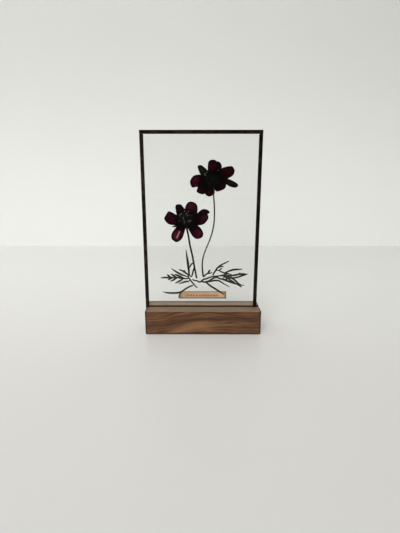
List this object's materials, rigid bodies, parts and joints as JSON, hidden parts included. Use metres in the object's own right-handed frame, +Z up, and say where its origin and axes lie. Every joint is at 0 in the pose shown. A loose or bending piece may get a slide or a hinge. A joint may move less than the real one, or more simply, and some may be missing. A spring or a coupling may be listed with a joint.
{
  "type": "pressed flower frame",
  "caption": "Pressed cosmos flowers and leaves between two glass sheets with dark metal edging, standing upright in a grooved walnut base.",
  "frame": {"origin": "middle of the base's underside", "axes": "+Z up, along the height of the panel; +Y from the front to the back; +X to the right of someone who looks at the front"},
  "size_m": [0.1032, 0.0286, 0.1732],
  "materials": {
    "walnut": "satin oiled, grain along the length",
    "clear_glass": "polished, clear",
    "dark_metal": "dark bronze patina, half gloss",
    "tan_paper": "matt",
    "dried_petal": "matt, velvety",
    "floret_disc": "matt, grainy",
    "dried_green": "matt, fibrous"
  },
  "bodies": {
    "root": {"walnut_base": "walnut", "glass_front": "clear_glass", "glass_back": "clear_glass", "edging_top": "dark_metal", "edging_bottom": "dark_metal", "edging_left": "dark_metal", "edging_right": "dark_metal", "paper_label": "tan_paper", "upper_petal_left": "dried_petal", "upper_petal_upper_left": "dried_petal", "upper_petal_top_left": "dried_petal", "upper_petal_top_right": "dried_petal", "upper_petal_upper_right": "dried_petal", "upper_petal_right": "dried_petal", "upper_petal_lower_right": "dried_petal", "upper_petal_bottom": "dried_petal", "upper_petal_lower_left": "dried_petal", "upper_disc": "floret_disc", "upper_stem": "dried_green", "lower_petal_left": "dried_petal", "lower_petal_upper_left": "dried_petal", "lower_petal_top": "dried_petal", "lower_petal_upper_right": "dried_petal", "lower_petal_right": "dried_petal", "lower_petal_lower_right": "dried_petal", "lower_petal_lower_left": "dried_petal", "lower_disc": "floret_disc", "lower_stem": "dried_green", "lower_sepal": "dried_green", "left_blade_leaf": "dried_green", "left_feathered_leaf": "dried_green", "left_lower_stalk": "dried_green", "right_feathered_leaf": "dried_green", "right_forked_leaf": "dried_green", "small_sprig": "dried_green", "right_lower_stalk": "dried_green"}
  },
  "joints": []
}
